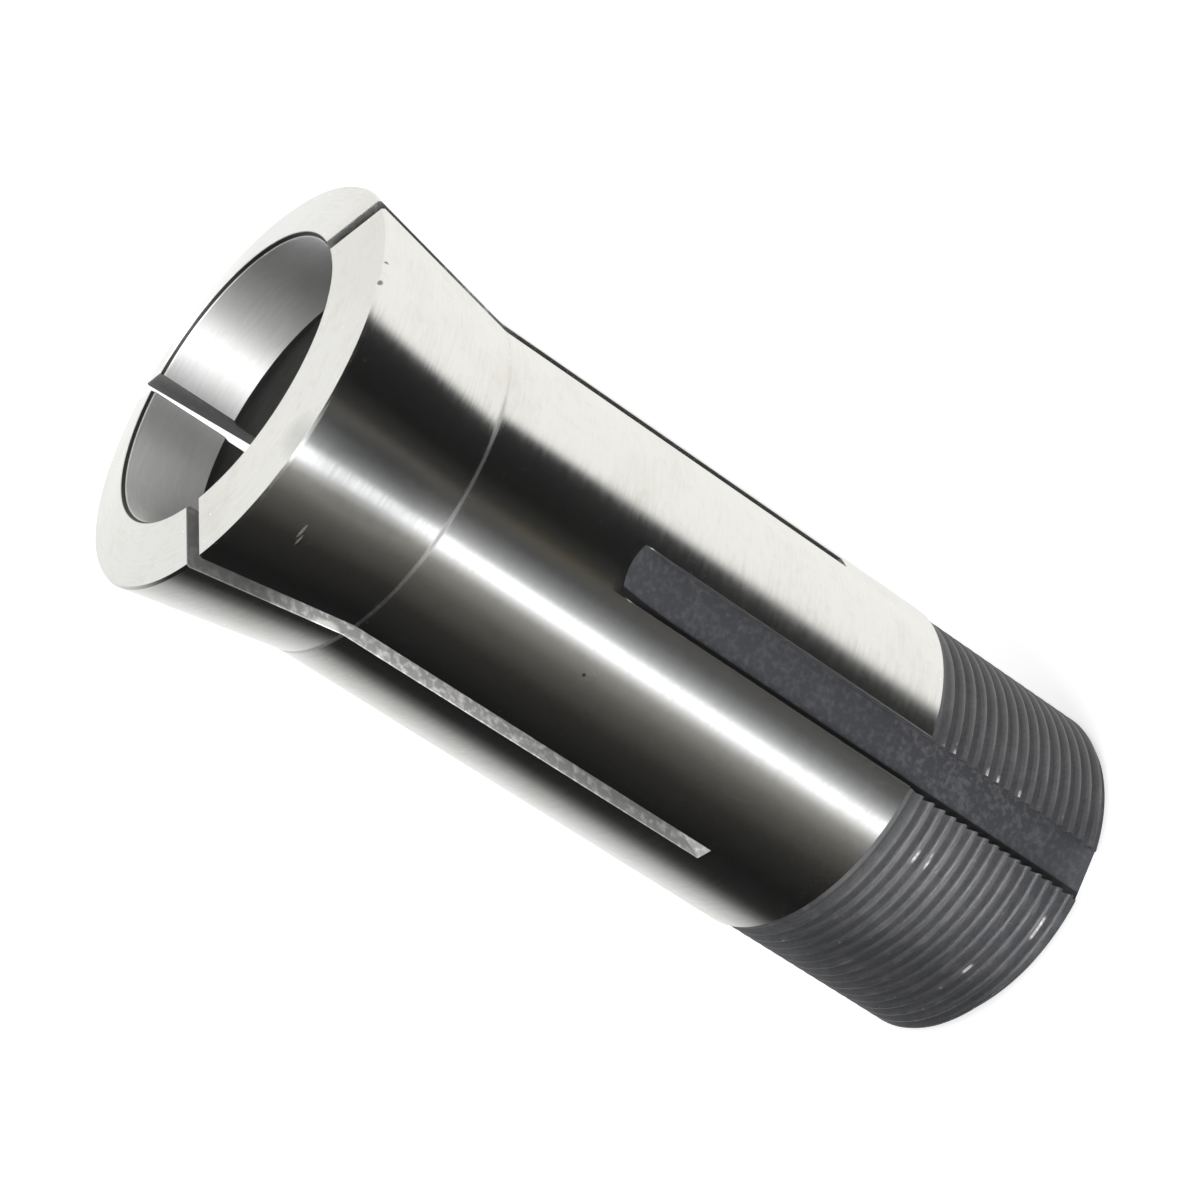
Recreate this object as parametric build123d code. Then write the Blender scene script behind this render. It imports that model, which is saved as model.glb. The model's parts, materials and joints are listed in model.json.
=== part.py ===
from build123d import *

import math
import os

# Spring collet for a lathe spindle, turned, milled, sawn and ground from one bar.
# It stands on its tail end: the origin is the centre of that end face, and +Z runs up the axis to the head.
# The keyway faces -Y.

# Driving dimensions, mm

# Along the axis
overall_length = 83.9  # tail end face to the rim of the bore mouth
thread_length = 20.2  # threaded tail, from the end face to the end of the ground shank
closing_cone_length = 14.58  # cone of the head, from its largest diameter back to the shank
clamping_land_length = 7.5  # ground bore that grips the bar, from the mouth inwards
slot_length = 53.2  # saw slots on the shank's surface, from the mouth
keyway_start = 31.2  # front end of the keyway on the shank's surface, from the mouth

# Across the axis
shank_diameter = 31.75  # ground body that slides in the spindle
clamping_diameter = 26.0  # bar that the jaws grip
spring_wall = 2.2  # wall left around the relief, thin enough for the jaws to bend
thread_step = 0.275  # crests of the drawtube thread lie this far under the shank

# Angles, degrees
closing_cone_angle = 10.0  # cone of the head to the axis
front_cone_angle = 14.0  # front face, laid back from square to the axis
relief_lead_angle = 45.0  # shoulder from the clamping land out to the relief, to the axis

# Saw slots between the jaws
jaw_count = 3
slot_width = 1.5
slot_phase = 87.0  # first slot about +Z, so the keyway lies 3 degrees off the middle of its jaw
slot_saw_radius = 31.5
slot_saw_reach = 4.0  # the saw runs this far past the wall of the clamping bore

# Keyway, milled with a disc cutter that rises out at the front end
keyway_width = 4.6
keyway_depth = 1.2
keyway_cutter_radius = 30.0
keyway_direction = -90.0

# Edges
mouth_chamfer = 0.35
head_edge_chamfer = 0.2
neck_blend_radius = 3.0
shank_end_chamfer = 0.2
thread_chamfer = 0.6
tail_bore_chamfer = 0.5

overrun = 1.0  # a cutter passes this far beyond an end that it leaves open

# Sizes that follow from these

shank_radius = shank_diameter / 2
clamping_radius = clamping_diameter / 2
relief_radius = shank_radius - spring_wall
thread_radius = shank_radius - thread_step
mouth_radius = clamping_radius + mouth_chamfer
head_radius = shank_radius + closing_cone_length * math.tan(math.radians(closing_cone_angle))

head_edge_height = overall_length - (head_radius - mouth_radius) * math.tan(math.radians(front_cone_angle))
neck_height = head_edge_height - closing_cone_length
land_end_height = overall_length - clamping_land_length
relief_start_height = land_end_height - (relief_radius - clamping_radius) / math.tan(math.radians(relief_lead_angle))


def corner(section, radius, height):
    """The corner of the section nearest to this radius and height."""
    return section.vertices().sort_by_distance((radius, height, 0))[0]


def turned_body():
    """Half section with radius along X and height along Y, stood up and turned about the axis."""
    outline = Polyline(
        (relief_radius, 0),
        (thread_radius - thread_chamfer, 0),
        (thread_radius, thread_chamfer),
        (thread_radius, thread_length),
        (shank_radius - shank_end_chamfer, thread_length),
        (shank_radius, thread_length + shank_end_chamfer),
        (shank_radius, neck_height),
        (head_radius, head_edge_height),
        (mouth_radius, overall_length),
        (clamping_radius, overall_length - mouth_chamfer),
        (clamping_radius, land_end_height),
        (relief_radius, relief_start_height),
        close=True,
    )
    section = make_face(outline)
    section = fillet(corner(section, shank_radius, neck_height), neck_blend_radius)
    section = chamfer(corner(section, head_radius, head_edge_height), head_edge_chamfer)
    section = chamfer(corner(section, relief_radius, 0), tail_bore_chamfer)
    return revolve(Plane.XZ * section, Axis.Z)


def disc_cut(cutter_radius, floor_radius, width, surface_end, open_end):
    """Groove on the +X side cut by a disc: it breaks the shank's surface at one height and runs out past another."""
    centre_radius = floor_radius + cutter_radius
    rise = math.sqrt(cutter_radius**2 - (centre_radius - shank_radius) ** 2)
    centre_height = surface_end + math.copysign(rise, open_end - surface_end)
    disc = Pos(centre_radius, centre_height) * Circle(cutter_radius)
    run = Pos(centre_radius, (centre_height + open_end) / 2) * Rectangle(
        2 * cutter_radius,
        abs(open_end - centre_height),
    )
    return extrude(Plane.XZ * (disc + run), width / 2, both=True)


def jaw_slots():
    """Saw cuts from the mouth back along the shank, evenly round the axis."""
    cut = disc_cut(
        slot_saw_radius,
        clamping_radius - slot_saw_reach,
        slot_width,
        overall_length - slot_length,
        overall_length + overrun,
    )
    return [Rot(0, 0, slot_phase + 360 * jaw / jaw_count) * cut for jaw in range(jaw_count)]


def keyway():
    """Flat-bottomed groove from the middle of the shank out through the thread."""
    cut = disc_cut(
        keyway_cutter_radius,
        shank_radius - keyway_depth,
        keyway_width,
        overall_length - keyway_start,
        -overrun,
    )
    return Rot(0, 0, keyway_direction) * cut


collet = turned_body() - jaw_slots() - keyway()
collet = collet.solid()
collet.label = "collet"

os.makedirs("parts", exist_ok=True)
export_step(collet, "parts/collet.step")

size = collet.bounding_box().size
print(f"collet: {size.X:.2f} x {size.Y:.2f} x {size.Z:.2f} mm, {collet.volume / 1000:.2f} cm3, valid {collet.is_valid}")
print(f"head diameter {2 * head_radius:.2f}, neck {neck_height:.2f} above the tail, relief bore {2 * relief_radius:.2f}")
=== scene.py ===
# %% [markdown]
# # A lathe collet: looks for a turned, sawn and threaded steel part
# The collet grips a bar in a lathe's spindle. It is one piece of hardened steel: a coned head with three
# jaws, a ground shank with a keyway, and a threaded tail. The construction model has its true form except
# for the fine thread. This script builds the same form again as one dressed mesh, with the thread cut and
# the edges of the slots and of the keyway broken a little, and gives each kind of machined surface its own
# finish.

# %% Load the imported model
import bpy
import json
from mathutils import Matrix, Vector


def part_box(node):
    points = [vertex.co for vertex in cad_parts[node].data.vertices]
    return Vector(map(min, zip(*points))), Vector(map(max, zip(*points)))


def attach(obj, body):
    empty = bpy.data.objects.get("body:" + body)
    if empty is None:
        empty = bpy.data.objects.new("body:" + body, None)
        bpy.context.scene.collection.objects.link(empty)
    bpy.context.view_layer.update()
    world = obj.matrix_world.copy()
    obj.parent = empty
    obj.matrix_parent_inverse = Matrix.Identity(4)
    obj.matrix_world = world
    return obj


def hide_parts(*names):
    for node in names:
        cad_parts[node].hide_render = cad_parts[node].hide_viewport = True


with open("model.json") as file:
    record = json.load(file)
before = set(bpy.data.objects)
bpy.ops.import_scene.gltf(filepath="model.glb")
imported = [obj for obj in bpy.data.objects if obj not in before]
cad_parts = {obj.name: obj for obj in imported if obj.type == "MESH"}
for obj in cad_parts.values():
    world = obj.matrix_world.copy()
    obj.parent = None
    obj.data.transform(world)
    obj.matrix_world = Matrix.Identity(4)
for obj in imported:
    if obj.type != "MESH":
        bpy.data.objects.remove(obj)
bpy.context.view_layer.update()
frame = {"record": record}

# %% Import what the lesson uses
import json
import math

import bmesh
import bpy
import numpy
from mathutils import Matrix, Vector

mm = 0.001
print("Blender", bpy.app.version_string, "and one millimetre is", mm)

# %% [markdown]
# ## Sizes
# The frame is in metres, so every size here is too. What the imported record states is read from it: the
# radii of the gripping bore, the relief, the shank and the thread, and the collet's length from its box.
# The sizes of the cuts are repeated from the construction model, each under its own name.

# %% Read the turned sizes
mounts = {mount["name"]: mount for mount in frame["record"]["mounts"]}


def stated_radius(name):
    """The radius of a round mount, in metres."""
    return mounts[name]["dims"]["r_mm"] * mm


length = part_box("collet")[1][2]
grip_radius = stated_radius("bar_grip")
relief_radius = stated_radius("bar_passage")
shank_radius = stated_radius("spindle_shank")
crest_radius = stated_radius("drawtube_thread")
print(f"length {length / mm:.2f}, shank radius {shank_radius / mm:.3f}, crests {crest_radius / mm:.3f} mm")

# %% Name the sizes of the cuts
thread_top = 20.2 * mm
cone_length = 14.58 * mm
cone_angle = math.radians(10)
face_angle = math.radians(14)
land_length = 7.5 * mm
mouth_chamfer = 0.35 * mm
head_edge_chamfer = 0.2 * mm
neck_radius = 3.0 * mm
shank_end_chamfer = 0.2 * mm
tail_chamfer = 0.6 * mm
tail_bore_chamfer = 0.5 * mm

slot_half = 0.75 * mm
slot_end = length - 53.2 * mm
saw_radius = 31.5 * mm
saw_reach = 4.0 * mm
slot_angles = [math.radians(angle) for angle in (-33, 87, 207)]

key_half = 2.3 * mm
key_depth = 1.2 * mm
key_start = length - 31.2 * mm
key_cutter_radius = 30.0 * mm
key_angle = math.radians(-90)

pitch = 1.27 * mm
thread_depth = 0.78 * mm
crest_flat = 0.17 * mm
root_flat = 0.16 * mm
thread_fade_top = 19.75 * mm
thread_fade = 1.1 * mm

broken_edge = 0.06 * mm
least_edge = 0.002 * mm  # what is left of a keyway's wall at the thread's roots
print(f"thread: {thread_top / pitch:.1f} turns of {pitch / mm:.2f} mm, {thread_depth / mm:.2f} mm deep")

# %% [markdown]
# ## The camera
# The collet stands on its tail, and the photograph looks at it from above the head with the camera rolled,
# so the axis runs from the upper left to the lower right. A camera is a place, a heading, a tilt and a
# roll. The lens is long, because the head is only a little larger in the picture than the same shape at the
# tail would be.

# %% Place the camera
camera_place = Vector((-88.58, -269.63, 187.24)) * mm
camera_heading = math.radians(71.50)
camera_tilt = math.radians(-26.50)
camera_roll = math.radians(-56.58)
camera_lens = 115.16
sensor = 36.0

camera_data = bpy.data.cameras.new("camera")
camera_data.sensor_width = sensor
camera_data.lens = camera_lens
camera_data.clip_start = 0.01
camera_data.clip_end = 50.0
camera = bpy.data.objects.new("camera", camera_data)
bpy.context.scene.collection.objects.link(camera)
bpy.context.scene.camera = camera
camera.matrix_world = (
    Matrix.Translation(camera_place)
    @ Matrix.Rotation(camera_heading - math.pi / 2, 4, "Z")
    @ Matrix.Rotation(math.pi / 2 + camera_tilt, 4, "X")
    @ Matrix.Rotation(camera_roll, 4, "Z")
)
print("camera looks along", [round(v, 3) for v in camera.matrix_world.to_3x3() @ Vector((0, 0, -1))])

# %% [markdown]
# ## The turned outline
# A turned part is an outline swept round an axis. It could be made with the Screw modifier, but the slots
# and the keyway then have to be cut by booleans, which leave ragged faces along the very edges that catch
# the light. Here the outline becomes the rows of a grid and the directions round the axis become its
# columns. Some columns follow the cuts, so each cut has clean edges with a narrow broken edge of its own.

# %% Work out the outline's corners
mouth_radius = grip_radius + mouth_chamfer
head_radius = shank_radius + cone_length * math.tan(cone_angle)
head_edge = length - (head_radius - mouth_radius) * math.tan(face_angle)
neck = head_edge - cone_length
land_end = length - land_length
relief_start = land_end - (relief_radius - grip_radius)
print(f"head radius {head_radius / mm:.2f}, neck at {neck / mm:.2f} mm")


# %% Draw stretches of the outline
def straight(start, end, steps, last=True):
    """Points on a straight stretch from start to end, as (radius, height)."""
    count = steps + 1 if last else steps
    return [
        (start[0] + (end[0] - start[0]) * k / steps, start[1] + (end[1] - start[1]) * k / steps)
        for k in range(count)
    ]


def neck_blend(steps):
    """The hollow blend between the cone and the shank, from the cone downwards."""
    reach = neck_radius * math.tan(cone_angle / 2)
    centre = (shank_radius + neck_radius, neck - reach)
    return [
        (
            centre[0] - neck_radius * math.cos(cone_angle * (1 - k / steps)),
            centre[1] + neck_radius * math.sin(cone_angle * (1 - k / steps)),
        )
        for k in range(steps + 1)
    ]


print("the neck's blend takes", round((neck_blend(1)[0][1] - neck_blend(1)[1][1]) / mm, 3), "mm of height")


# %% Say where the two disc cutters stood
saw_centre_radius = grip_radius - saw_reach + saw_radius
saw_height = slot_end + math.sqrt(saw_radius**2 - (saw_centre_radius - shank_radius) ** 2)
key_floor = shank_radius - key_depth
key_centre_radius = key_floor + key_cutter_radius
key_height = key_start - math.sqrt(key_cutter_radius**2 - (key_centre_radius - shank_radius) ** 2)


def saw_cut(radius):
    """Height of the slot's rounded end at a distance from the axis."""
    return saw_height - math.sqrt(saw_radius**2 - (radius - saw_centre_radius) ** 2)


def key_edge(distance):
    """Height at which the keyway's floor reaches a distance from the axis."""
    return key_height + math.sqrt(key_cutter_radius**2 - (key_centre_radius - distance) ** 2)


def key_depth_line(height):
    """Distance of the keyway's floor from the axis at a height."""
    rise = numpy.maximum(height - key_height, 0)
    return key_centre_radius - numpy.sqrt(key_cutter_radius**2 - rise**2)


slot_inner_end = saw_cut(relief_radius)
print(f"slot ends at {slot_end / mm:.2f} outside and {slot_inner_end / mm:.2f} mm inside")

# %% List the rows of the grid
plain, thread, tail = "plain", "thread", "tail"
rows = []
row_at = {}


def add_rows(points, kind=plain, name=None):
    """Adds rows of one kind and remembers the first one's number under a name."""
    if name:
        row_at[name] = len(rows)
    rows.extend((kind, radius, height) for radius, height in points)


blend = neck_blend(6)
cone_top = (
    head_radius - head_edge_chamfer * math.sin(cone_angle),
    head_edge - head_edge_chamfer * math.cos(cone_angle),
)
face_rim = (
    head_radius - head_edge_chamfer * math.cos(face_angle),
    head_edge + head_edge_chamfer * math.sin(face_angle),
)
key_curve = key_edge(math.sqrt(shank_radius**2 - key_half**2))

add_rows(straight((mouth_radius, length), face_rim, 6), name="face")
add_rows(straight(cone_top, blend[0], 14, last=False), name="cone")
add_rows(blend, name="neck")
shank_top = (shank_radius, blend[-1][1] - 1 * mm)
add_rows(straight(shank_top, (shank_radius, key_start + 0.6 * mm), 8), name="shank")
add_rows([(shank_radius, key_curve)], name="key start")
add_rows(straight((shank_radius, key_curve - 0.4 * mm), (shank_radius, key_height), 12), name="key")
add_rows(straight((shank_radius, key_height - 2 * mm), (shank_radius, slot_end + 0.7 * mm), 6))
add_rows([(shank_radius, slot_end)], name="slot end")
add_rows([(shank_radius, slot_end - broken_edge)])
shank_low = (shank_radius, thread_top + shank_end_chamfer)
add_rows(straight((shank_radius, slot_end - 1 * mm), shank_low, 6))
add_rows([(shank_radius - shank_end_chamfer, thread_top), (crest_radius, thread_top)], name="shank end")
print(len(rows), "rows down to the thread")

# %% [markdown]
# ## The thread
# A screw thread is a groove that climbs one pitch in each turn. Bump alone would leave the tail's outline
# smooth, so the groove is cut into the mesh. The rows that cross the thread climb with it: each row keeps
# to one place in the groove's profile, so crests and roots stay crisp with few rows. Where a row would pass
# the end of the thread it stops there, and the rows that meet are welded later. The groove fades over its
# last turn, where the tool was drawn out.


# %% Write the thread's form
mid_flank = 0.25
mid_root = 0.5


def thread_radius(height, angle):
    """Radius of the threaded tail at heights and angles, with its run-out and its end chamfer."""
    turns = height / pitch - angle / (2 * math.pi)
    turn = numpy.floor(turns)
    off_centre = numpy.abs(turns - turn - mid_root) * pitch
    top_half = (pitch - crest_flat) / 2
    shape = numpy.clip((top_half - off_centre) / (top_half - root_flat / 2), 0, 1)
    groove_height = (turn + mid_root + angle / (2 * math.pi)) * pitch
    left = numpy.clip((thread_fade_top - groove_height) / thread_fade, 0, 1)
    radius = crest_radius - thread_depth * shape * left
    return numpy.minimum(radius, crest_radius - tail_chamfer + height)


row_places = (0, crest_flat / pitch / 2, mid_flank, mid_root - root_flat / pitch / 2, mid_root)
row_places += tuple(1 - place for place in row_places[-2:0:-1])
thread_rows = []
for turn in range(-2, math.ceil(thread_top / pitch) + 2):
    thread_rows += [(turn + place) * pitch for place in row_places]
thread_rows.sort(reverse=True)
add_rows([(crest_radius, height) for height in thread_rows], kind=thread, name="thread")
print(len(thread_rows), "climbing rows")

# %% Finish the rows through the bore
tail_ring = 14.6 * mm
add_rows([(tail_ring, 0)], kind=tail, name="tail face")
add_rows([(relief_radius + tail_bore_chamfer, 0)], name="tail bore")
slot_step = 0.45 * mm
relief_low = (relief_radius, tail_bore_chamfer)
add_rows(straight(relief_low, (relief_radius, slot_inner_end - slot_step), 8), name="relief")
add_rows([(relief_radius, slot_inner_end)], name="slot inner end")
add_rows(straight((relief_radius, slot_inner_end + slot_step), (relief_radius, relief_start), 12))
add_rows(straight((grip_radius, land_end), (grip_radius, length - mouth_chamfer), 6), name="land")
add_rows([(mouth_radius, length)], name="close")
print(len(rows), "rows in all")

# %% [markdown]
# ## Columns that follow the cuts
# A slot's walls are flat and parallel, so its edges aren't at a fixed angle: on the wide head they are at a
# smaller angle than on the shank. Each column is tied to one cut, or lies between two, and its angle is
# worked out from the radius of the row. A keyway has one column at the rim of each wall and one at its
# root, and where there is no keyway the two lie on each other and are welded.

# %% Lay out the columns
key_steps = 6
column_spacing = math.radians(2)
columns = []


def add_column(cut, offset, kind, next_cut=None, next_offset=0.0, share=0.0):
    """A column at an offset from a cut's middle, or between that line and a line of the next cut."""
    columns.append((cut, offset, kind, cut if next_cut is None else next_cut, next_offset, share))


def add_slot(angle):
    """A slot's five columns: a lip and a rim on each side, and its middle."""
    for offset, kind in ((-1, "lip"), (-1, "rim"), (0, "gap"), (1, "rim"), (1, "lip")):
        reach = slot_half + broken_edge if kind == "lip" else slot_half
        add_column(angle, offset * reach, "slot " + kind)


def add_keyway(angle):
    """A keyway's columns: a lip and a rim on each side, and its floor."""
    add_column(angle, -key_half - broken_edge, "key lip")
    add_column(angle, -key_half, "key rim")
    for k in range(key_steps + 1):
        add_column(angle, key_half * (2 * k / key_steps - 1), "key floor")
    add_column(angle, key_half, "key rim")
    add_column(angle, key_half + broken_edge, "key lip")


def add_between(cut, offset, next_cut, next_offset):
    """Even columns between two cuts, about 2 degrees apart."""
    steps = round((next_cut - cut) / column_spacing)
    for k in range(1, steps):
        add_column(cut, offset, "turned", next_cut, next_offset, k / steps)


slot_reach = slot_half + broken_edge
key_reach = key_half + broken_edge
add_keyway(key_angle)
add_between(key_angle, key_reach, slot_angles[0], -slot_reach)
for angle, next_angle in zip(slot_angles, slot_angles[1:] + [None]):
    add_slot(angle)
    if next_angle:
        add_between(angle, slot_reach, next_angle, -slot_reach)
add_between(slot_angles[-1], slot_reach, key_angle + 2 * math.pi, -key_reach)
add_column(key_angle + 2 * math.pi, -key_reach, "seam")

cut_angle, cut_offset, kinds, next_angle, next_offset, share = (numpy.array(c) for c in zip(*columns))
print(len(columns), "columns,", len(columns) * len(rows), "grid points before welding")


# %% Turn rows and columns into points
def angles_at(radius):
    """The columns' angles at each grid point's radius."""
    here = cut_angle + numpy.arcsin(cut_offset / radius)
    there = next_angle + numpy.arcsin(next_offset / radius)
    return here * (1 - share) + there * share


row_kind = numpy.array([row[0] for row in rows])
radius = numpy.array([row[1] for row in rows])[:, None] * numpy.ones(len(columns))
height = numpy.array([row[2] for row in rows])[:, None] * numpy.ones(len(columns))

threaded = row_kind == thread
climb = angles_at(numpy.full(len(columns), crest_radius)) / (2 * math.pi) * pitch
height[threaded] = numpy.clip(height[threaded] + climb, 0, thread_top)
radius[threaded] = thread_radius(height[threaded], angles_at(radius[threaded]))
thread_radii = radius[threaded] / mm
print("thread radius from", round(thread_radii.min(), 2), "to", round(thread_radii.max(), 2))

# %% [markdown]
# ## Cutting the keyway and breaking the edges
# The keyway's floor replaces the surface between its walls, from its curved start down to the tail. The
# rims of the keyway and of the slots are pushed in a little, against the outline's normal, so that the
# strip from the lip to the rim becomes a small chamfer. A sharp edge would render as nothing: it is the
# broken edge that shows as a thin line of light.

# %% Find the outline's normals
shortest = 1e-9
path = numpy.array([(row[1], row[2]) for row in rows])
ahead = numpy.roll(path, -1, axis=0) - path
ahead[-1] = path[1] - path[0]
lengths = numpy.linalg.norm(ahead, axis=1, keepdims=True)
ahead = ahead / numpy.maximum(lengths, shortest)
segment_normal = numpy.stack([-ahead[:, 1], ahead[:, 0]], axis=1)
row_normal = segment_normal + numpy.roll(segment_normal, 1, axis=0)
row_normal[0] = segment_normal[0] + segment_normal[-2]
row_normal /= numpy.maximum(numpy.linalg.norm(row_normal, axis=1, keepdims=True), shortest)
face_out, face_up = row_normal[row_at["face"] + 3]
print("the front face leans", round(math.degrees(math.atan2(face_out, face_up)), 2), "degrees")

# %% Break the rims of the slots
last = len(rows) - 1
slotted = numpy.zeros(len(rows), bool)
slotted[: row_at["slot end"] + 1] = True
slotted[row_at["slot inner end"] :] = True
slot_rims = kinds == "slot rim"
slot_gaps = kinds == "slot gap"

for row in numpy.flatnonzero(slotted):
    radius[row, slot_rims] -= broken_edge * row_normal[row, 0]
    height[row, slot_rims] -= broken_edge * row_normal[row, 1]
for name in ("slot end", "slot inner end"):
    row = row_at[name]
    sunk = radius[row, slot_rims][0]
    radius[row, slot_gaps] = sunk
    height[row, slot_rims | slot_gaps] = saw_cut(sunk)
print(slot_rims.sum(), "slot rims broken by", broken_edge / mm, "mm on", slotted.sum(), "rows")

# %% Sink the keyway's floor
floor_columns = kinds == "key floor"
key_rims = kinds == "key rim"
key_rows = range(row_at["key start"], row_at["tail face"] + 1)
corner_radius = math.hypot(key_half, key_floor)
most_broken = 0.35  # of a shallow wall, where the keyway runs out

for row in key_rows:
    offset = cut_offset[floor_columns]
    if row == row_at["key start"]:
        height[row, floor_columns] = [key_edge(math.sqrt(shank_radius**2 - x**2)) for x in offset]
        continue
    floor = key_depth_line(height[row, floor_columns])
    radius[row, floor_columns] = numpy.hypot(offset, floor)
    rim_floor = numpy.hypot(key_half, key_depth_line(height[row, key_rims]))
    if row == row_at["tail face"]:
        radius[row, key_rims] = rim_floor
    elif row_kind[row] == plain:
        wall = radius[row, key_rims] - rim_floor
        radius[row, key_rims] -= numpy.minimum(broken_edge, most_broken * wall)
    else:
        radius[row, key_rims] = numpy.maximum(radius[row, key_rims], corner_radius + least_edge)

angle = angles_at(radius)
points = numpy.stack([radius * numpy.cos(angle), radius * numpy.sin(angle), height], axis=-1)
print("keyway floor", round(key_floor / mm, 3), "mm from the axis")

# %% [markdown]
# ## Finishes by region
# The collet is one piece, so it stays one object, and each kind of machined surface is a material slot on
# it. The slot of a face follows from where it lies in the grid: which rows it spans and which columns.

# %% Name the finishes
finishes = ("ground_steel", "threaded_steel", "sawn_steel", "milled_steel", "bored_steel", "honed_steel")
ground, threaded_slot, sawn, milled, bored, honed = range(len(finishes))


def finish_of(row, column):
    """Material slot of the face between this row and column and the next ones."""
    in_key = row_at["key start"] <= row < row_at["tail face"]
    if in_key and {kinds[column], kinds[column + 1]} <= {"key rim", "key floor"}:
        return milled
    if "slot rim" in (kinds[column], kinds[column + 1]) and (slotted[row] or slotted[row + 1]):
        return sawn
    if row_at["shank end"] + 1 <= row < row_at["tail bore"]:
        return threaded_slot
    if row_at["tail bore"] <= row < row_at["land"]:
        return bored
    if row_at["land"] <= row < row_at["close"]:
        return honed
    return ground


turned_column = numpy.flatnonzero(kinds == "turned")[0]
for name in ("face", "relief", "land"):
    print("the", name, "is", finishes[finish_of(row_at[name], turned_column)])

# %% Weave the grid into a mesh
body = bmesh.new()
segment_layer = body.faces.layers.int.new("segment")
grid = [[body.verts.new(point) for point in row] for row in points]


def face(corners, finish, segment=-1):
    """A face with its finish. A segment number says which stretch of the outline it lies on."""
    made = body.faces.new(corners)
    made.material_index = finish
    made.smooth = True
    made[segment_layer] = segment


for row in range(last):
    open_here = slotted[row] and slotted[row + 1]
    for column in range(len(columns) - 1):
        pair = (kinds[column], kinds[column + 1])
        if open_here and "slot gap" in pair:
            continue
        chamfered = (slotted[row] or slotted[row + 1]) and "slot rim" in pair
        beside_key = row_at["key start"] - 1 <= row <= row_at["tail face"]
        in_key = beside_key and ("key rim" in pair or "key floor" in pair)
        turned = not (chamfered or in_key or threaded[row] or row_kind[row] == tail)
        above, below = grid[row], grid[row + 1]
        corners = (above[column], below[column], below[column + 1], above[column + 1])
        face(corners, finish_of(row, column), row if turned else -1)
print(len(body.faces), "faces in the grid")

# %% [markdown]
# ## The slots' walls
# Between the outer and the inner surface a slot shows two flat walls and a rounded end, the arc that the
# saw left. Each wall is flat, so one many-sided face does for it. The end is a strip of faces along the
# arc.

# %% Close the slots
end_steps = 6
outer_row, inner_row = row_at["slot end"], row_at["slot inner end"]
outline_rows = list(range(outer_row, -1, -1)) + list(range(last - 1, inner_row - 1, -1))
first_rims = [c for c in numpy.flatnonzero(slot_rims) if kinds[c + 1] == "slot gap"]

for rim in first_rims:
    trio = (rim, rim + 1, rim + 2)
    strips = {column: [grid[inner_row][column]] for column in trio}
    inner_end, outer_end = radius[inner_row, rim], radius[outer_row, rim]
    for k in range(1, end_steps):
        out = inner_end + (outer_end - inner_end) * k / end_steps
        for column in trio:
            turn = cut_angle[column] + math.asin(cut_offset[column] / out)
            strips[column].append(body.verts.new((out * math.cos(turn), out * math.sin(turn), saw_cut(out))))
    for column in trio:
        strips[column].append(grid[outer_row][column])
    for k in range(end_steps):
        for left, right in (trio[:2], trio[1:]):
            face((strips[left][k], strips[right][k], strips[right][k + 1], strips[left][k + 1]), sawn)
    for column, flip in ((trio[0], False), (trio[2], True)):
        loop = [grid[row][column] for row in outline_rows] + strips[column][1:-1]
        face(loop if flip else loop[::-1], sawn)
print("slots closed:", len(first_rims))

# %% Weld the grid and test that it is closed
weld_distance = 0.0004 * mm
bmesh.ops.remove_doubles(body, verts=body.verts, dist=weld_distance)
bmesh.ops.dissolve_degenerate(body, edges=body.edges, dist=weld_distance)
bmesh.ops.recalc_face_normals(body, faces=body.faces)
loose_edges = sum(not edge.is_manifold for edge in body.edges)
print(len(body.verts), "vertices,", len(body.faces), "faces,", loose_edges, "open edges")
cubic_cm = (10 * mm) ** 3
print(f"volume {body.calc_volume(signed=True) / cubic_cm:.2f} cm3")

collet_mesh = bpy.data.meshes.new("collet_dressed")
body.to_mesh(collet_mesh)
body.free()
collet = bpy.data.objects.new("collet_dressed", collet_mesh)
bpy.context.scene.collection.objects.link(collet)

# %% [markdown]
# ## Normals
# Narrow and wide faces meet beside each cut, and averaged normals would bend a reflection there. A turned
# surface has a known normal everywhere, so the turned faces get it straight from the outline. The chamfers,
# the walls and the thread keep flat or averaged normals, split where the angle is sharp.

# %% Set the normals
sharp_angle = math.radians(28)
collet_mesh.set_sharp_from_angle(angle=sharp_angle)
finish_sides = {}
for polygon in collet_mesh.polygons:
    for edge in polygon.edge_keys:
        finish_sides.setdefault(edge, []).append(polygon.material_index)
softened = 0
for edge in collet_mesh.edges:
    if edge.use_edge_sharp and finish_sides[edge.key] == [threaded_slot, threaded_slot]:
        edge.use_edge_sharp = False
        softened += 1
print(softened, "edges of the thread softened")
normals = [corner.vector.copy() for corner in collet_mesh.corner_normals]
segments = collet_mesh.attributes["segment"].data
neck_rows = range(row_at["neck"], row_at["shank"] - 1)
blend_centre = (shank_radius + neck_radius, blend[-1][1])
known = 0
for polygon in collet_mesh.polygons:
    segment = segments[polygon.index].value
    if segment < 0:
        continue
    for corner in polygon.loop_indices:
        place = collet_mesh.vertices[collet_mesh.loops[corner].vertex_index].co
        out = math.hypot(place.x, place.y)
        if segment in neck_rows:
            n_out, n_up = blend_centre[0] - out, blend_centre[1] - place.z
        else:
            n_out, n_up = segment_normal[segment]
        normals[corner] = Vector((n_out * place.x / out, n_out * place.y / out, n_up)).normalized()
        known += 1
collet_mesh.normals_split_custom_set(normals)
collet_mesh.attributes.remove(collet_mesh.attributes["segment"])
print(known, "of", len(normals), "corners have the outline's own normal")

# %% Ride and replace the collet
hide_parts("collet")
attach(collet, "root")
print(collet.name, "stands in for the node collet and rides the body root")

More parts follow.
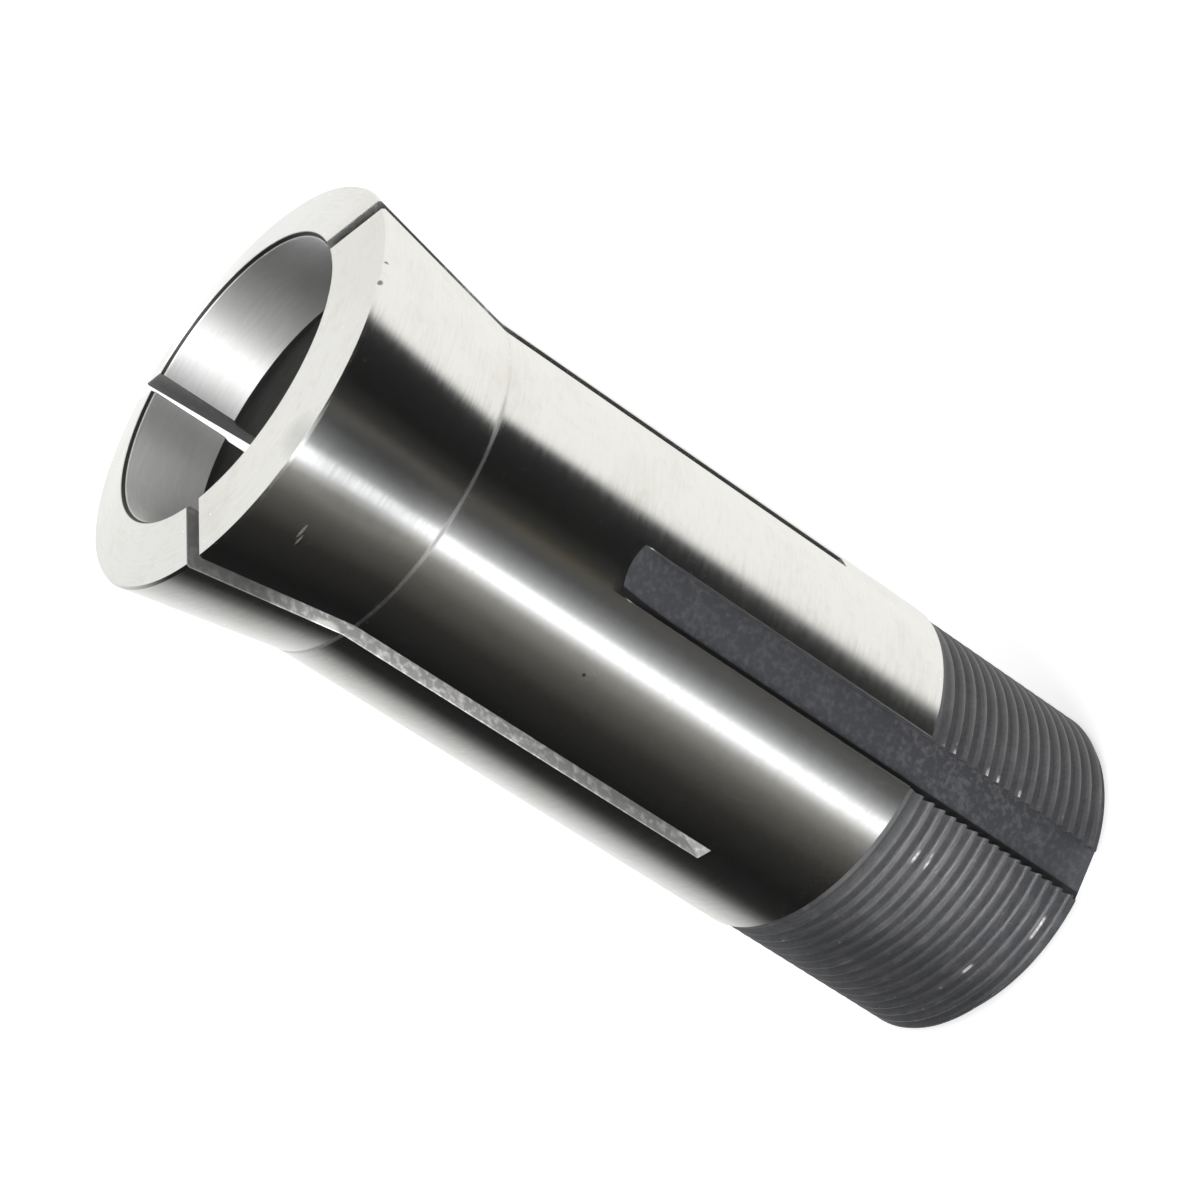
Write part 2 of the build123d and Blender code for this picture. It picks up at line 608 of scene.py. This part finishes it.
# %% [markdown]
# ## Building blocks for the finishes
# The six finishes share a few effects: lines that a tool leaves round the axis, soft stains, flecks, and
# small marks at a known place. Each effect is a node group with named inputs, built once. A group hands out
# masks and heights only, so each material still mixes its own colours. All of them read the object's own
# coordinates, which keeps a mark where it is when the collet is turned.


# %% Helpers for node trees
def set_input(tree, socket, value):
    """Feeds a socket from another socket, or gives it a plain value."""
    if isinstance(value, bpy.types.NodeSocket):
        tree.links.new(value, socket)
    else:
        socket.default_value = value


def nodes_of(tree):
    """Functions that add a node to the tree and set its inputs from sockets or plain values."""

    def add(kind, inputs=None, **settings):
        node = tree.nodes.new(kind)
        for key, value in settings.items():
            setattr(node, key, value)
        for key, value in (inputs or {}).items():
            set_input(tree, node.inputs[key], value)
        return node

    def calc(operation, first, second=0.0, clamp=False):
        node = add("ShaderNodeMath", {0: first, 1: second}, operation=operation, use_clamp=clamp)
        return node.outputs[0]

    return add, calc


def own_place(add):
    """A point's x, y and z in the object's own coordinates."""
    return add("ShaderNodeSeparateXYZ", {0: add("ShaderNodeTexCoord").outputs["Object"]}).outputs


def new_group(name, inputs, outputs):
    """An empty node group with named sockets. Returns the tree, its input node and its output node."""
    tree = bpy.data.node_groups.new(name, "ShaderNodeTree")
    for socket_name, kind, value in inputs:
        socket = tree.interface.new_socket(socket_name, in_out="INPUT", socket_type="NodeSocket" + kind)
        socket.default_value = value
    for socket_name in outputs:
        tree.interface.new_socket(socket_name, in_out="OUTPUT", socket_type="NodeSocketFloat")
    return tree, tree.nodes.new("NodeGroupInput"), tree.nodes.new("NodeGroupOutput")


def sockets_of(group):
    """The names of a group's sockets, to print."""
    return [socket.name for socket in group.interface.items_tree]


print("node groups so far:", len(bpy.data.node_groups))

# %% Group: lines round the axis
line_slant = 1.7  # how far the lines follow the radius too, so that a flat face has rings


def lines_group():
    """Fine lines that run round the axis, as a turning tool or a grinding wheel leaves them."""
    inputs = (("Lines per mm", "Float", 4.0), ("Run", "Float", 3.0), ("Contrast", "Float", 1.0))
    tree, given, result = new_group("tool lines", inputs, ("Height", "Radius mm"))
    add, calc = nodes_of(tree)
    x, y, z = own_place(add)
    radius = calc("SQRT", calc("ADD", calc("MULTIPLY", x, x), calc("MULTIPLY", y, y)))
    along = calc("MULTIPLY", calc("ADD", z, calc("MULTIPLY", radius, line_slant)), 1 / mm)
    around = [calc("MULTIPLY", calc("DIVIDE", side, radius), given.outputs["Run"]) for side in (x, y)]
    spread = calc("MULTIPLY", along, given.outputs["Lines per mm"])
    vector = add("ShaderNodeCombineXYZ", {0: around[0], 1: around[1], 2: spread}).outputs[0]
    noise = add("ShaderNodeTexNoise", {"Vector": vector, "Scale": 1.0, "Detail": 3.0, "Roughness": 0.6})
    centred = calc("MULTIPLY", calc("SUBTRACT", noise.outputs[0], 0.5), given.outputs["Contrast"])
    tree.links.new(calc("ADD", centred, 0.5, clamp=True), result.inputs["Height"])
    tree.links.new(calc("MULTIPLY", radius, 1 / mm), result.inputs["Radius mm"])
    return tree


tool_lines = lines_group()
print("tool lines:", sockets_of(tool_lines))

# %% Group: stains and flecks
noise_top, noise_span = 0.75, 0.5  # where nearly all values of a noise lie


def stains_group():
    """Soft patches. Cover says how much of the surface they take, and Edge how softly they end."""
    values = (("Size mm", 6.0), ("Cover", 0.5), ("Edge", 0.2), ("Detail", 3.0))
    inputs = [(name, "Float", value) for name, value in values]
    tree, given, result = new_group("stains", inputs, ("Mask",))
    add, calc = nodes_of(tree)
    place = add("ShaderNodeTexCoord").outputs["Object"]
    scale = calc("DIVIDE", 1 / mm, given.outputs["Size mm"])
    noise = add("ShaderNodeTexNoise", {"Vector": place, "Scale": scale, "Detail": given.outputs["Detail"]})
    start = calc("SUBTRACT", noise_top, calc("MULTIPLY", given.outputs["Cover"], noise_span))
    mask = calc("DIVIDE", calc("SUBTRACT", noise.outputs[0], start), given.outputs["Edge"], clamp=True)
    tree.links.new(mask, result.inputs["Mask"])
    return tree


stains = stains_group()
print("stains:", sockets_of(stains))

# %% Group: a mark at a place
def mark_group():
    """One oval mark, full out to half its size and then fading. Place and Size are in mm."""
    inputs = (("Place mm", "Vector", (0, 0, 0)), ("Size mm", "Vector", (1, 1, 1)))
    tree, given, result = new_group("mark", inputs, ("Mask",))
    add, calc = nodes_of(tree)
    place, size = given.outputs["Place mm"], given.outputs["Size mm"]
    point = add("ShaderNodeTexCoord").outputs["Object"]
    here = add("ShaderNodeVectorMath", {0: point, "Scale": 1 / mm}, operation="SCALE")
    away = add("ShaderNodeVectorMath", {0: here.outputs[0], 1: place}, operation="SUBTRACT")
    shrunk = add("ShaderNodeVectorMath", {0: away.outputs[0], 1: size}, operation="DIVIDE")
    far = add("ShaderNodeVectorMath", {0: shrunk.outputs[0]}, operation="LENGTH").outputs["Value"]
    mask = calc("MULTIPLY", calc("SUBTRACT", 1.0, far, clamp=True), 2.0, clamp=True)
    tree.links.new(mask, result.inputs["Mask"])
    return tree


mark = mark_group()
print("mark:", sockets_of(mark))


# %% Start a finish
def new_finish(name, metallic, roughness):
    """A material with one Principled shader. Returns the functions that build it."""
    material = bpy.data.materials.new(name)
    material.use_nodes = True
    tree = material.node_tree
    shader = tree.nodes["Principled BSDF"]
    collet_mesh.materials.append(material)
    add, calc = nodes_of(tree)

    def use(group, **inputs):
        spaced = {key.replace("_", " "): value for key, value in inputs.items()}
        return add("ShaderNodeGroup", spaced, node_tree=group)

    def blend_colours(share, first, second):
        pair = [(*colour, 1) if isinstance(colour, tuple) else colour for colour in (first, second)]
        return add("ShaderNodeMix", {0: share, 6: pair[0], 7: pair[1]}, data_type="RGBA").outputs[2]

    def feed(**inputs):
        for key, value in inputs.items():
            set_input(tree, shader.inputs[key.replace("_", " ")], value)

    feed(Metallic=metallic, Roughness=roughness)
    return add, calc, use, blend_colours, feed


print(len(finishes), "finishes to make from", len(bpy.data.node_groups), "groups")


# %% Shorthand for the finish in hand
# These work on the last finish begun, with the functions that new_finish gave for it.
def marks_mask(marks):
    """The masks of several marks, added up."""
    total = 0.0
    for place, size in marks:
        total = calc("ADD", total, use(mark, Place_mm=place, Size_mm=size).outputs["Mask"], clamp=True)
    return total


def patchy(size, cover, edge, detail):
    """A mask of soft patches of this size in mm."""
    return use(stains, Size_mm=size, Cover=cover, Edge=edge, Detail=detail).outputs["Mask"]


def ramp(value, start, end):
    """0 at start and 1 at end, with an even change between them."""
    return calc("DIVIDE", calc("SUBTRACT", value, start), end - start, clamp=True)


def stained(colour, mask, share, stain):
    """The colour with a stain over it, as strong as the mask times the share."""
    return blend_colours(calc("MULTIPLY", mask, share), colour, stain)


def raise_grain(height, strength, depth):
    """Gives the finish a bump of this depth."""
    bump = add("ShaderNodeBump", {"Height": height, "Strength": strength, "Distance": depth})
    feed(Normal=bump.outputs[0])


print("shorthand:", [shorthand.__name__ for shorthand in (marks_mask, patchy, ramp, stained, raise_grain)])

# %% [markdown]
# ## Ground steel
# The shank and the two cones are ground: bright, with very fine lines round the axis. What a polished
# cylinder shows is the room, not itself, so the colour stays even and only a little warm. The lines give a
# small bump, the stains a trace of handling, and a few marks sit where the photograph has them.

# %% Make the ground steel
bright_steel = (0.80, 0.795, 0.765)
warm_steel = (0.69, 0.67, 0.61)
dark_steel = (0.08, 0.08, 0.08)
polish = 0.085

neck_line_width = 0.34 * mm
dark_marks = (
    ((7.45, -16.79, 82.64), (0.34, 0.30, 0.34)),
    ((9.42, -15.83, 82.53), (0.16, 0.16, 0.42)),
    ((-8.71, -13.27, 50.95), (0.2, 0.2, 0.2)),
)
light_marks = (
    ((-11.3, -13.5, 77.95), (0.9, 0.8, 0.16)),
    ((-11.9, -13.0, 77.62), (0.7, 0.6, 0.13)),
)
olive_streak = ((-2.15, -15.72, 59.0), (1.0, 1.2, 8.0))
dull_head = ((-6.1, -16.4, 75.5), (3.2, 3.2, 10.0))

add, calc, use, blend_colours, feed = new_finish("ground_steel", 1.0, 0.16)
lines = use(tool_lines, Lines_per_mm=3.0, Run=6.0, Contrast=2.2).outputs["Height"]
patches = patchy(size=6.0, cover=0.6, edge=0.35, detail=6.0)
freckles = patchy(size=1.1, cover=0.45, edge=0.3, detail=4.0)
streaks = calc("MULTIPLY", calc("SUBTRACT", lines, 0.5), 0.40)
stain = calc("ADD", calc("MULTIPLY", patches, 0.55), calc("MULTIPLY", freckles, 0.40))
colour = blend_colours(calc("ADD", stain, streaks, clamp=True), bright_steel, warm_steel)
colour = stained(colour, marks_mask([olive_streak]), 0.7, (0.84, 0.80, 0.64))
colour = stained(colour, marks_mask([dull_head]), 0.6, (0.30, 0.30, 0.29))
colour = stained(colour, marks_mask(dark_marks), 0.8, dark_steel)

height_here = own_place(add)[2]
from_neck = calc("ABSOLUTE", calc("SUBTRACT", height_here, neck))
neck_line = calc("SUBTRACT", 1.0, calc("DIVIDE", from_neck, neck_line_width), clamp=True)
dulled = calc("MAXIMUM", calc("MULTIPLY", neck_line, 0.7), marks_mask(light_marks))
rubbed = ramp(height_here, neck, neck - 40 * mm)
roughness = polish
for mask, share in ((lines, 0.07), (patches, 0.04), (rubbed, 0.07), (dulled, 0.4)):
    roughness = calc("ADD", roughness, calc("MULTIPLY", mask, share))
feed(Base_Color=colour, Roughness=roughness)
raise_grain(lines, 0.6, 0.003 * mm)
print(len(dark_marks) + len(light_marks), "marks on the ground steel")

# %% [markdown]
# ## Threaded steel
# The thread was cut before hardening and not ground, so it stayed dark from the heat. The crests are a
# little lighter, where the drawtube has rubbed them, and the roots are painted lighter against the shade
# that falls in them. The radius tells crest from root. Large soft marks paint shade on one side and light
# on the crests of two others, and small painted highlights on the crests stand for glints.

# %% Make the threaded steel
# Painted highlights: near-white spots on the crests stand for glints.
painted_thread_glints = (
    ((-6.61, -14.13, 16.14), (0.7, 0.7, 0.6)),
    ((-6.60, -14.13, 14.51), (0.7, 0.7, 0.6)),
    ((-5.90, -14.40, 15.30), (0.5, 0.5, 0.5)),
    ((-5.51, -14.59, 2.45), (0.7, 0.7, 0.8)),
    ((-6.55, -14.16, 2.23), (0.8, 0.7, 0.8)),
    ((-11.3, -10.74, 4.60), (0.7, 0.7, 0.5)),
    ((1.96, -15.47, 17.79), (0.9, 0.5, 1.5)),
    ((2.40, -15.43, 13.20), (0.8, 0.5, 1.3)),
    ((2.45, -15.42, 9.60), (0.6, 0.5, 0.8)),
)
# Painted shade on one side of the thread, and painted light on the crests of two others.
painted_shade_patch = ((-14.9, -4.6, 3.0), (9.0, 9.0, 24.0))
painted_light_patches = (
    ((10.0, -12.0, 10.0), (10.0, 10.0, 24.0)),
    ((-7.4, -13.7, 18.0), (8.0, 8.0, 12.0)),
)
crest_band = 0.12  # in mm, how far under the crests the rubbing reaches
crest_edge = 12.0  # how sharply it ends
add, calc, use, blend_colours, feed = new_finish("threaded_steel", 0.2, 0.5)
line_node = use(tool_lines, Lines_per_mm=7.0, Run=14.0, Contrast=1.6)
under_crest = calc("SUBTRACT", line_node.outputs["Radius mm"], crest_radius / mm - crest_band)
crest = calc("MULTIPLY", under_crest, crest_edge, clamp=True)
worn = patchy(size=2.2, cover=0.50, edge=0.3, detail=4.0)
rust = patchy(size=3.1, cover=0.45, edge=0.35, detail=5.0)
grit = patchy(size=0.35, cover=0.55, edge=0.3, detail=2.0)
flecks = patchy(size=0.5, cover=0.14, edge=0.10, detail=2.0)
colour = blend_colours(worn, (0.055, 0.057, 0.062), (0.105, 0.107, 0.113))
colour = stained(colour, rust, 0.5, (0.135, 0.105, 0.098))
# Painted light: the roots and flanks are lighter, to lessen the shade that falls in them.
colour = stained(colour, calc("SUBTRACT", 1.0, crest), 0.25, (0.120, 0.120, 0.126))
colour = stained(colour, grit, 0.55, (0.036, 0.037, 0.040))
# Painted shade on one side, then painted light on the crests of two others.
colour = stained(colour, marks_mask([painted_shade_patch]), 0.45, (0.02, 0.02, 0.022))
on_crests = calc("ADD", calc("MULTIPLY", crest, 0.30), 0.04)
colour = stained(colour, marks_mask(painted_light_patches), on_crests, (0.27, 0.26, 0.255))
colour = stained(colour, crest, calc("MULTIPLY", worn, 0.35), (0.17, 0.17, 0.167))
colour = stained(colour, calc("MULTIPLY", flecks, crest), 0.6, (0.42, 0.41, 0.40))
# Painted highlights on the crests.
glints = calc("MULTIPLY", marks_mask(painted_thread_glints), calc("ADD", calc("MULTIPLY", grit, 0.6), 0.4))
colour = stained(colour, glints, crest, (0.92, 0.90, 0.86))
feed(Base_Color=colour, Roughness=calc("ADD", calc("MULTIPLY", worn, 0.12), 0.46))
raise_grain(line_node.outputs["Height"], 0.6, 0.02 * mm)
print(len(painted_thread_glints), "glints on the crests")

# %% [markdown]
# ## Sawn steel
# A slitting saw leaves the slots' walls grey and matte, with a torn, speckled grain. The walls are darker in
# the head and toward the tail. Painted shade darkens the slot that faces away from the lamp below the neck,
# and all along the slot seen across the mouth, and by the neck a painted highlight on one spot stands for a
# glint. The grain is the stains group at a small size, and it feeds both the colour and the bump, so that a
# pale speck is also a raised one.

# %% Make the sawn steel
# A painted highlight: a near-white streak along one wall by the neck stands for a glint.
painted_glint_start = Vector((-14.58, -7.99, 72.34))
painted_glint_end = Vector((-14.74, -6.36, 69.10))
painted_saw_glints = [(painted_glint_start.lerp(painted_glint_end, k / 5), (0.9, 0.55, 1.0)) for k in range(6)]
light_patches = (
    ((-15.02, -9.01, 77.37), (0.9, 0.9, 1.6)),
    ((-14.69, -8.53, 74.36), (0.9, 0.8, 1.5)),
)
add, calc, use, blend_colours, feed = new_finish("sawn_steel", 0.0, 0.6)
rough_cut = patchy(size=0.6, cover=0.55, edge=0.22, detail=6.0)
colour = blend_colours(rough_cut, (0.42, 0.42, 0.41), (0.90, 0.89, 0.87))
across, away, height_here = own_place(add)
in_head = ramp(height_here, neck + 3 * mm, neck + 8 * mm)
to_tail = ramp(height_here, neck - 12 * mm, neck - 28 * mm)
darkening_and_painted_shade = calc("MAXIMUM", calc("MULTIPLY", in_head, 0.85), calc("MULTIPLY", to_tail, 0.45))
on_shank = ramp(height_here, neck + 2 * mm, neck - 2 * mm)
# Painted shade: the slot facing away from the lamp below the neck, and the slot seen across the mouth.
painted_shade_side = calc("MULTIPLY", ramp(across, 0, 5 * mm), on_shank)
painted_shade_side = calc("MAXIMUM", painted_shade_side, ramp(away, 0, 5 * mm))
darkening_and_painted_shade = calc("MAXIMUM", darkening_and_painted_shade, calc("MULTIPLY", painted_shade_side, 0.92))
colour = blend_colours(darkening_and_painted_shade, colour, (0.09, 0.09, 0.088))
colour = stained(colour, marks_mask(light_patches), 0.6, (0.55, 0.55, 0.53))
colour = blend_colours(marks_mask(painted_saw_glints), colour, (0.95, 0.94, 0.91))
feed(Base_Color=colour)
raise_grain(rough_cut, 0.5, 0.02 * mm)
# The spot printed here is the painted highlight.
print("burnished spot", round((painted_glint_end - painted_glint_start).length, 2), "mm long")

# %% [markdown]
# ## Milled steel
# The keyway was milled before hardening and never ground, so its floor is a dark blue-grey with a fine
# grain. Along one wall a near-black line of painted shade darkens the floor's corner, and the other side
# has gone a little brown. Both follow from the distance to the keyway's middle, which is simply the
# object's own X. A soft mark lightens the floor where it enters the thread.

# %% Make the milled steel
worn_floor = ((0.8, -14.7, 15.0), (3.2, 3.2, 12.0))
add, calc, use, blend_colours, feed = new_finish("milled_steel", 0.3, 0.55)
clouds = patchy(size=0.5, cover=0.6, edge=0.7, detail=10.0)
colour = blend_colours(clouds, (0.060, 0.062, 0.070), (0.155, 0.157, 0.168))
colour = stained(colour, marks_mask([worn_floor]), calc("MULTIPLY", clouds, 0.30), (0.36, 0.345, 0.335))
across = own_place(add)[0]
brown_side = calc("MULTIPLY", ramp(across, 0.9 * mm, 2.1 * mm), clouds)
colour = stained(colour, brown_side, 0.5, (0.14, 0.105, 0.09))
# Painted shade: a near-black strip on the floor beside one wall, where the wall shades the corner.
painted_corner_shade_width = 0.80 * mm
painted_corner_shade_edge = painted_corner_shade_width - key_half
painted_corner_shade = ramp(across, painted_corner_shade_edge, painted_corner_shade_edge - 0.15 * mm)
colour = stained(colour, painted_corner_shade, 0.95, (0.008, 0.008, 0.008))
feed(Base_Color=colour)
raise_grain(patchy(size=0.4, cover=0.6, edge=0.6, detail=3.0), 0.5, 0.02 * mm)
print("grime lies", round(painted_corner_shade_width / mm, 2), "mm wide along the keyway's wall")

# %% [markdown]
# ## Bored steel
# Behind the gripping land the relief is only bored, and little light reaches it. It gets a dark metal with
# wide tool lines. The lines are the same group as on the shank, with coarser values.

# %% Make the bored steel
add, calc, use, blend_colours, feed = new_finish("bored_steel", 0.9, 0.5)
lines = use(tool_lines, Lines_per_mm=3.0, Run=4.0, Contrast=1.6).outputs["Height"]
feed(Base_Color=blend_colours(lines, (0.17, 0.17, 0.165), (0.25, 0.25, 0.24)))
raise_grain(lines, 0.6, 0.02 * mm)
print("relief", round(2 * relief_radius / mm, 2), "mm across")

# %% [markdown]
# ## Honed steel
# The gripping land is honed to size. Its scratches run round the bore, so it smears what it mirrors along
# the axis. Plain roughness would smear it evenly, so this finish is anisotropic, with a radial tangent
# about Z. The middle of the thin chamfer at the mouth is painted dark, a painted reflection of the dark that
# the chamfer mirrors, and two heights tell where that line starts and ends.

# %% Make the honed steel
add, calc, use, blend_colours, feed = new_finish("honed_steel", 1.0, 0.6)
lines = use(tool_lines, Lines_per_mm=4.0, Run=5.0, Contrast=1.6).outputs["Height"]
colour = blend_colours(lines, (0.82, 0.82, 0.81), (0.72, 0.72, 0.71))
patches = patchy(size=5.0, cover=0.5, edge=0.4, detail=4.0)
colour = stained(colour, patches, 0.35, (0.5, 0.49, 0.47))
height_here = own_place(add)[2]
# Painted reflection: the chamfer at the mouth is painted dark for the dark that it mirrors.
mouth_line_top = length - 0.045 * mm
mouth_line_end = length - 0.27 * mm
under_face = calc("LESS_THAN", height_here, mouth_line_top)
painted_mouth_reflection = calc("MULTIPLY", under_face, calc("GREATER_THAN", height_here, mouth_line_end))
colour = blend_colours(painted_mouth_reflection, colour, (0.05, 0.05, 0.048))
honing = add("ShaderNodeTangent", direction_type="RADIAL", axis="Z")
feed(Base_Color=colour, Tangent=honing.outputs[0])
feed(Anisotropic=0.9, Anisotropic_Rotation=0.25)
raise_grain(lines, 0.4, 0.01 * mm)
print("finishes:", [material.name for material in collet_mesh.materials])

# %% [markdown]
# ## The studio
# The floor and the room are white to the camera and to reflections, and both come from their own colour,
# not from stronger lamps. The lamps light matte surfaces at a plain level. The floor mixes a white glow,
# seen only by the camera and by reflections, with a matte colour that still takes the collet's shadow.


# %% Helpers for the studio
def stage_sheet(name, corners, faces):
    """A sheet of the studio with a material of its own. Returns the sheet and the material."""
    mesh = bpy.data.meshes.new(name)
    mesh.from_pydata(corners, [], faces)
    sheet = bpy.data.objects.new(name, mesh)
    bpy.context.scene.collection.objects.link(sheet)
    finish = bpy.data.materials.new(name)
    finish.use_nodes = True
    mesh.materials.append(finish)
    return sheet, finish


def rectangle(wide, tall):
    """The corners and the one face of a flat rectangle about its middle."""
    x, y = wide / 2, tall / 2
    return [(-x, -y, 0), (x, -y, 0), (x, y, 0), (-x, y, 0)], [(0, 1, 2, 3)]


def only_in_mirrors(sheet, finish):
    """Hides a sheet from all but reflected rays and empties its material, ready for a glow. Returns add."""
    for ray in ("camera", "diffuse", "transmission", "volume_scatter", "shadow"):
        setattr(sheet, "visible_" + ray, False)
    finish.cycles.emission_sampling = "NONE"
    finish.node_tree.nodes.clear()
    return nodes_of(finish.node_tree)[0]


def seen_directly(add, calc):
    """1 for rays from the camera, from a mirror or through glass, and 0 for light that falls on things."""
    path = add("ShaderNodeLightPath")
    seen = calc("MAXIMUM", path.outputs["Is Camera Ray"], path.outputs["Is Glossy Ray"])
    return calc("MAXIMUM", seen, path.outputs["Is Transmission Ray"])


print("a sheet of 2 by 1 m has its corners at", rectangle(2, 1)[0])

# %% Make the floor and the room
floor_width = 8.0
floor_glow = 0.50
floor, floor_finish = stage_sheet("floor", *rectangle(floor_width, floor_width))
floor_tree = floor_finish.node_tree
add, calc = nodes_of(floor_tree)
floor_values = {
    "Base Color": (0.80, 0.80, 0.80, 1),
    "Roughness": 0.9,
    "Specular IOR Level": 0.0,
    "Emission Color": (1, 1, 1, 1),
    "Emission Strength": calc("MULTIPLY", seen_directly(add, calc), floor_glow),
}
for key, value in floor_values.items():
    set_input(floor_tree, floor_tree.nodes["Principled BSDF"].inputs[key], value)

room_light = 0.55
world = bpy.data.worlds.new("studio")
bpy.context.scene.world = world
world.use_nodes = True
world.cycles.sampling_method = "NONE"
room_tree = world.node_tree
add, calc = nodes_of(room_tree)
room_colour = room_tree.nodes["Background"]
room_colour.inputs["Color"].default_value = (1, 1, 1, 1)
room_strength = calc("ADD", calc("MULTIPLY", seen_directly(add, calc), 1.0 - room_light), room_light)
room_tree.links.new(room_strength, room_colour.inputs["Strength"])
bpy.context.scene.view_settings.view_transform = "Standard"
print("floor glow", floor_glow, "and room light", room_light)

# %% [markdown]
# ## Boards round the collet
# Bright round steel gets its look from dark and light boards near it, and from gaps between them. The
# camera looks down on the shank, so the shank mirrors the table just in front of it. The boards are
# therefore drawn on the table and go on up as a wall. Each board is bounded by the lines along which the
# camera's rays leave the shank: seen from above, a ray that meets the shank at some angle leaves at twice
# that angle, less the camera's. So a board from one angle to another shows as a straight stripe along the
# shank. Reflections alone see the boards: the camera, the shadows and the matte light do not.

# %% List the boards
# Each line: the angle on the shank, in degrees, how bright the boards are there and how warm their colour.
# Between two lines both change evenly.
board_edges = (
    (-200, 1.06, 0.45),
    (-190, 0.98, 0.4),
    (-184, 0.88, 0.35),
    (-176, 0.60, 0.3),
    (-171.5, 0.37, 0.3),
    (-168, 0.13, 0.3),
    (-164, 0.02, 0.3),
    (-150, 0.012, 0.2),
    (-136, 0.03, 0.8),
    (-126, 0.11, 1.0),
    (-119, 0.30, 0.7),
    (-116.4, 0.90, 0.2),
    (-115, 1.90, 0.0),
    (-112.4, 2.00, 0.0),
    (-110.8, 0.60, 0.0),
    (-107, 0.24, 0.0),
    (-103, 0.085, 0.2),
    (-99, 0.10, 0.9),
    (-96, 0.04, 0.8),
    (-90, 0.015, 0.3),
    (-80, 0.02, 0.0),
    (-75, 0.03, 0.0),
    (-73.5, 0.09, 0.2),
    (-72, 0.56, 0.5),
    (-70.5, 1.02, 0.5),
    (-68, 1.08, 0.5),
    (-40, 1.08, 0.5),
    (-25, 0.95, 0.5),
)
camera_side = math.degrees(math.atan2(camera_place.y, camera_place.x))
print(f"the camera stands at {camera_side:.1f} degrees about the collet's axis")


# %% Draw the boards
board_gap = 0.8 * mm
board_lift = 0.4 * mm
board_reach = 260 * mm
board_height = 400 * mm
board_step = 0.5
cool_light = (0.96, 0.985, 1.03, 1)
warm_light = (1.0, 0.97, 0.90, 1)


def board_points(shank_angle):
    """Points of one line of the boards: out along the table, then up."""
    start = math.radians(shank_angle)
    heading = math.radians(2 * shank_angle - camera_side)
    foot = Vector((math.cos(start), math.sin(start), 0)) * (shank_radius + board_gap)
    outward = Vector((math.cos(heading), math.sin(heading), 0))
    on_table = [foot + outward * reach + Vector((0, 0, board_lift)) for reach in (0, board_reach)]
    return on_table + [on_table[-1] + Vector((0, 0, board_height))]


board_angles = numpy.arange(board_edges[0][0], board_edges[-1][0] + board_step / 2, board_step)
edge_angles, edge_light, edge_warmth = zip(*board_edges)

board_verts = [point for shank_angle in board_angles for point in board_points(shank_angle)]
board_faces = []
for k in range(len(board_angles) - 1):
    for step in (0, 1):
        board_faces.append((3 * k + step, 3 * k + step + 1, 3 * k + step + 4, 3 * k + step + 3))
boards, board_finish = stage_sheet("boards", board_verts, board_faces)
for layer_name, values in (("light", edge_light), ("warmth", edge_warmth)):
    layer = boards.data.attributes.new(layer_name, "FLOAT", "POINT")
    layer.data.foreach_set("value", numpy.repeat(numpy.interp(board_angles, edge_angles, values), 3))

add = only_in_mirrors(boards, board_finish)
light = add("ShaderNodeAttribute", attribute_name="light").outputs["Fac"]
warmth = add("ShaderNodeAttribute", attribute_name="warmth").outputs["Fac"]
tint = add("ShaderNodeMix", {0: warmth, 6: cool_light, 7: warm_light}, data_type="RGBA")
glow = add("ShaderNodeEmission", {"Color": tint.outputs[2], "Strength": light})
add("ShaderNodeOutputMaterial", {0: glow.outputs[0]})
print(len(board_faces), "faces of boards")

# %% [markdown]
# ## Panels above the mouth
# The gripping land mirrors what hangs above the mouth, smeared along the axis. A bright window there gives
# the land its white patch, and a dimmer panel on each side of it the greys beside the patch.


# %% Hang the panels
def hang(piece, heading, tilt, distance, centre):
    """Puts a piece at a heading and a tilt from the centre, both in degrees, and turns it to face there."""
    heading, tilt = math.radians(heading), math.radians(tilt)
    flat = math.cos(tilt)
    way = Vector((flat * math.cos(heading), flat * math.sin(heading), math.sin(tilt)))
    piece.location = centre + way * distance
    piece.rotation_euler = way.to_track_quat("Z", "Y").to_euler()


def panel(name, heading, tilt, distance, wide, tall, brightness):
    """A flat panel, sized in metres, that faces the mouth and that only reflections see."""
    sheet, finish = stage_sheet(name, *rectangle(wide, tall))
    hang(sheet, heading, tilt, distance, Vector((0, 0, length)))
    add = only_in_mirrors(sheet, finish)
    glow = add("ShaderNodeEmission", {"Strength": brightness})
    add("ShaderNodeOutputMaterial", {0: glow.outputs[0]})
    print(f"{name}: {wide:.2f} by {tall:.2f} m, heading {heading:.0f} degrees")


window_side = camera_side - 11
panel("window", window_side, 50, 0.6, 0.24, 0.45, 26.0)
panel("left_board", window_side - 55, 50, 0.6, 0.50, 0.45, 4.0)
panel("right_board", window_side + 65, 50, 0.6, 0.60, 0.45, 2.2)

# %% [markdown]
# ## Lamps
# Mirror-bright steel takes nothing from a lamp, so the lamps are only for the matte finishes: the thread,
# the keyway and the slots. The main lamp stands beside the camera and almost level, because the light has
# to come in along a slot to reach its wall. They are hidden from mirror rays, which would show them as
# white squares.


# %% Hang the lamps
def lamp(name, heading, tilt, distance, size, power):
    """A square soft lamp that faces the collet's middle."""
    data = bpy.data.lights.new(name, "AREA")
    data.size = size
    data.energy = power
    light = bpy.data.objects.new(name, data)
    bpy.context.scene.collection.objects.link(light)
    hang(light, heading, tilt, distance, Vector((0, 0, length / 2)))
    light.visible_glossy = False
    print(f"{name}: {power} W over {size} m")


lamp("beside_the_camera", camera_side - 25, 14, 0.9, 0.4, 8.0)
lamp("overhead", 60, 75, 1.0, 0.8, 2.0)
